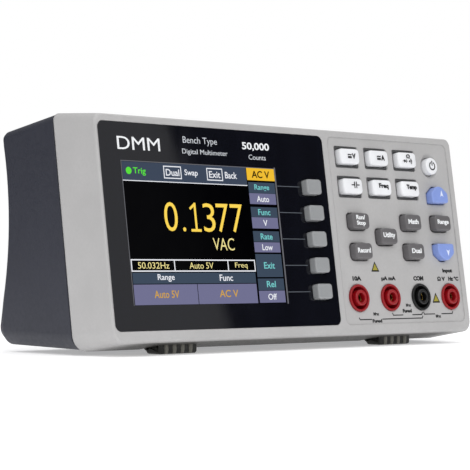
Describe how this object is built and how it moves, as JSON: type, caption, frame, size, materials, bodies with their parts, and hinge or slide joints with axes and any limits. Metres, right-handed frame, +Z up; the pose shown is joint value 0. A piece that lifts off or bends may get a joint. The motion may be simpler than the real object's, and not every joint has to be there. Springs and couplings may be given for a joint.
{
  "type": "bench multimeter",
  "caption": "Bench multimeter with a leaning front, colour display, push keys, shrouded 4 mm input jacks, rear fuse caps and flip-out tilt legs.",
  "frame": {"origin": "middle of the resting plane, below the centre of the outline", "axes": "+X to the right of the front face, +Y from the front to the back, +Z up; millimetre sizes stored in metres"},
  "size_m": [0.203, 0.0708, 0.0905],
  "materials": {
    "bezel_grey": "fine satin texture",
    "case_charcoal": "fine spark texture",
    "window_black": "polished",
    "display_glass": "polished",
    "housing_white": "plain",
    "rubber_dark": "matte",
    "board_green": "solder resist",
    "part_black": "matte",
    "resistance_alloy": "drawn wire",
    "tinned_steel": "tinned",
    "flex_film": "film",
    "jack_red": "satin",
    "jack_black": "satin",
    "contact_brass": "gold flash",
    "cap_black": "satin",
    "fuse_glass": "plain",
    "screw_dark": "blackened",
    "leg_black": "satin",
    "key_grey": "satin",
    "key_white": "satin",
    "key_blue": "satin",
    "key_dark": "satin"
  },
  "bodies": {
    "meter": {"front_bezel": "bezel_grey", "rear_case": "case_charcoal", "display_window": "window_black", "lcd_panel": "display_glass", "lcd_housing": "housing_white", "keypad_gasket": "rubber_dark", "key_board": "board_green", "tact_switches": "part_black", "main_board": "board_green", "main_chips": "part_black", "relays": "housing_white", "capacitors": "part_black", "shunt_resistor": "resistance_alloy", "shield_can": "tinned_steel", "buzzer": "part_black", "board_cables": "flex_film", "lcd_flex": "flex_film", "jack_10a": "jack_red", "jack_ma": "jack_red", "jack_common": "jack_black", "jack_volts": "jack_red", "jack_contacts": "contact_brass", "rear_board": "board_green", "usb_socket": "tinned_steel", "dc_socket": "part_black", "fuse_holders": "part_black", "fuses": "fuse_glass", "case_screws": "screw_dark", "board_screws": "tinned_steel", "rear_feet": "rubber_dark", "leg_pins": "tinned_steel"},
    "soft_key_1": {"soft_key_1": "key_grey"},
    "soft_key_2": {"soft_key_2": "key_grey"},
    "soft_key_3": {"soft_key_3": "key_grey"},
    "soft_key_4": {"soft_key_4": "key_grey"},
    "soft_key_5": {"soft_key_5": "key_grey"},
    "key_volts": {"key_volts": "key_white"},
    "key_amps": {"key_amps": "key_white"},
    "key_ohms": {"key_ohms": "key_white"},
    "key_capacitance": {"key_capacitance": "key_white"},
    "key_frequency": {"key_frequency": "key_white"},
    "key_temperature": {"key_temperature": "key_white"},
    "power_button": {"power_button": "key_white"},
    "key_up": {"key_up": "key_blue"},
    "key_down": {"key_down": "key_blue"},
    "key_run_stop": {"key_run_stop": "key_dark"},
    "key_math": {"key_math": "key_dark"},
    "key_range": {"key_range": "key_dark"},
    "key_utility": {"key_utility": "key_dark"},
    "key_record": {"key_record": "key_dark"},
    "key_dual": {"key_dual": "key_dark"},
    "fuse_cap_left": {"fuse_cap_left": "cap_black"},
    "fuse_cap_right": {"fuse_cap_right": "cap_black"},
    "tilt_leg_left": {"tilt_leg_left": "leg_black"},
    "tilt_leg_right": {"tilt_leg_right": "leg_black"}
  },
  "joints": [
    {"name": "soft_key_1_press", "type": "slide", "parent": "meter", "child": "soft_key_1", "axis": [0, 0.989, -0.1478], "range_m": [0, 0.0012], "stiffness_N_per_m": 900},
    {"name": "soft_key_2_press", "type": "slide", "parent": "meter", "child": "soft_key_2", "axis": [0, 0.989, -0.1478], "range_m": [0, 0.0012], "stiffness_N_per_m": 900},
    {"name": "soft_key_3_press", "type": "slide", "parent": "meter", "child": "soft_key_3", "axis": [0, 0.989, -0.1478], "range_m": [0, 0.0012], "stiffness_N_per_m": 900},
    {"name": "soft_key_4_press", "type": "slide", "parent": "meter", "child": "soft_key_4", "axis": [0, 0.989, -0.1478], "range_m": [0, 0.0012], "stiffness_N_per_m": 900},
    {"name": "soft_key_5_press", "type": "slide", "parent": "meter", "child": "soft_key_5", "axis": [0, 0.989, -0.1478], "range_m": [0, 0.0012], "stiffness_N_per_m": 900},
    {"name": "key_volts_press", "type": "slide", "parent": "meter", "child": "key_volts", "axis": [0, 0.989, -0.1478], "range_m": [0, 0.0012], "stiffness_N_per_m": 900},
    {"name": "key_amps_press", "type": "slide", "parent": "meter", "child": "key_amps", "axis": [0, 0.989, -0.1478], "range_m": [0, 0.0012], "stiffness_N_per_m": 900},
    {"name": "key_ohms_press", "type": "slide", "parent": "meter", "child": "key_ohms", "axis": [0, 0.989, -0.1478], "range_m": [0, 0.0012], "stiffness_N_per_m": 900},
    {"name": "key_capacitance_press", "type": "slide", "parent": "meter", "child": "key_capacitance", "axis": [0, 0.989, -0.1478], "range_m": [0, 0.0012], "stiffness_N_per_m": 900},
    {"name": "key_frequency_press", "type": "slide", "parent": "meter", "child": "key_frequency", "axis": [0, 0.989, -0.1478], "range_m": [0, 0.0012], "stiffness_N_per_m": 900},
    {"name": "key_temperature_press", "type": "slide", "parent": "meter", "child": "key_temperature", "axis": [0, 0.989, -0.1478], "range_m": [0, 0.0012], "stiffness_N_per_m": 900},
    {"name": "power_button_press", "type": "slide", "parent": "meter", "child": "power_button", "axis": [0, 0.989, -0.1478], "range_m": [0, 0.0012], "stiffness_N_per_m": 900},
    {"name": "key_up_press", "type": "slide", "parent": "meter", "child": "key_up", "axis": [0, 0.989, -0.1478], "range_m": [0, 0.0012], "stiffness_N_per_m": 900},
    {"name": "key_down_press", "type": "slide", "parent": "meter", "child": "key_down", "axis": [0, 0.989, -0.1478], "range_m": [0, 0.0012], "stiffness_N_per_m": 900},
    {"name": "key_run_stop_press", "type": "slide", "parent": "meter", "child": "key_run_stop", "axis": [0, 0.989, -0.1478], "range_m": [0, 0.0012], "stiffness_N_per_m": 900},
    {"name": "key_math_press", "type": "slide", "parent": "meter", "child": "key_math", "axis": [0, 0.989, -0.1478], "range_m": [0, 0.0012], "stiffness_N_per_m": 900},
    {"name": "key_range_press", "type": "slide", "parent": "meter", "child": "key_range", "axis": [0, 0.989, -0.1478], "range_m": [0, 0.0012], "stiffness_N_per_m": 900},
    {"name": "key_utility_press", "type": "slide", "parent": "meter", "child": "key_utility", "axis": [0, 0.989, -0.1478], "range_m": [0, 0.0012], "stiffness_N_per_m": 900},
    {"name": "key_record_press", "type": "slide", "parent": "meter", "child": "key_record", "axis": [0, 0.989, -0.1478], "range_m": [0, 0.0012], "stiffness_N_per_m": 900},
    {"name": "key_dual_press", "type": "slide", "parent": "meter", "child": "key_dual", "axis": [0, 0.989, -0.1478], "range_m": [0, 0.0012], "stiffness_N_per_m": 900},
    {"name": "tilt_leg_left_swing", "type": "hinge", "parent": "meter", "child": "tilt_leg_left", "pos_m": [-0.06045, -0.01727, 0.0037], "axis": [1, 0, 0], "range_deg": [0, 90]},
    {"name": "tilt_leg_right_swing", "type": "hinge", "parent": "meter", "child": "tilt_leg_right", "pos_m": [0.06045, -0.01727, 0.0037], "axis": [1, 0, 0], "range_deg": [0, 90]},
    {"name": "fuse_cap_left_turn", "type": "hinge", "parent": "meter", "child": "fuse_cap_left", "pos_m": [0.04, 0.03003, 0.03], "axis": [0, 1, 0], "range_deg": [0, 90]},
    {"name": "fuse_cap_right_turn", "type": "hinge", "parent": "meter", "child": "fuse_cap_right", "pos_m": [0.068, 0.03003, 0.03], "axis": [0, 1, 0], "range_deg": [0, 90]}
  ]
}
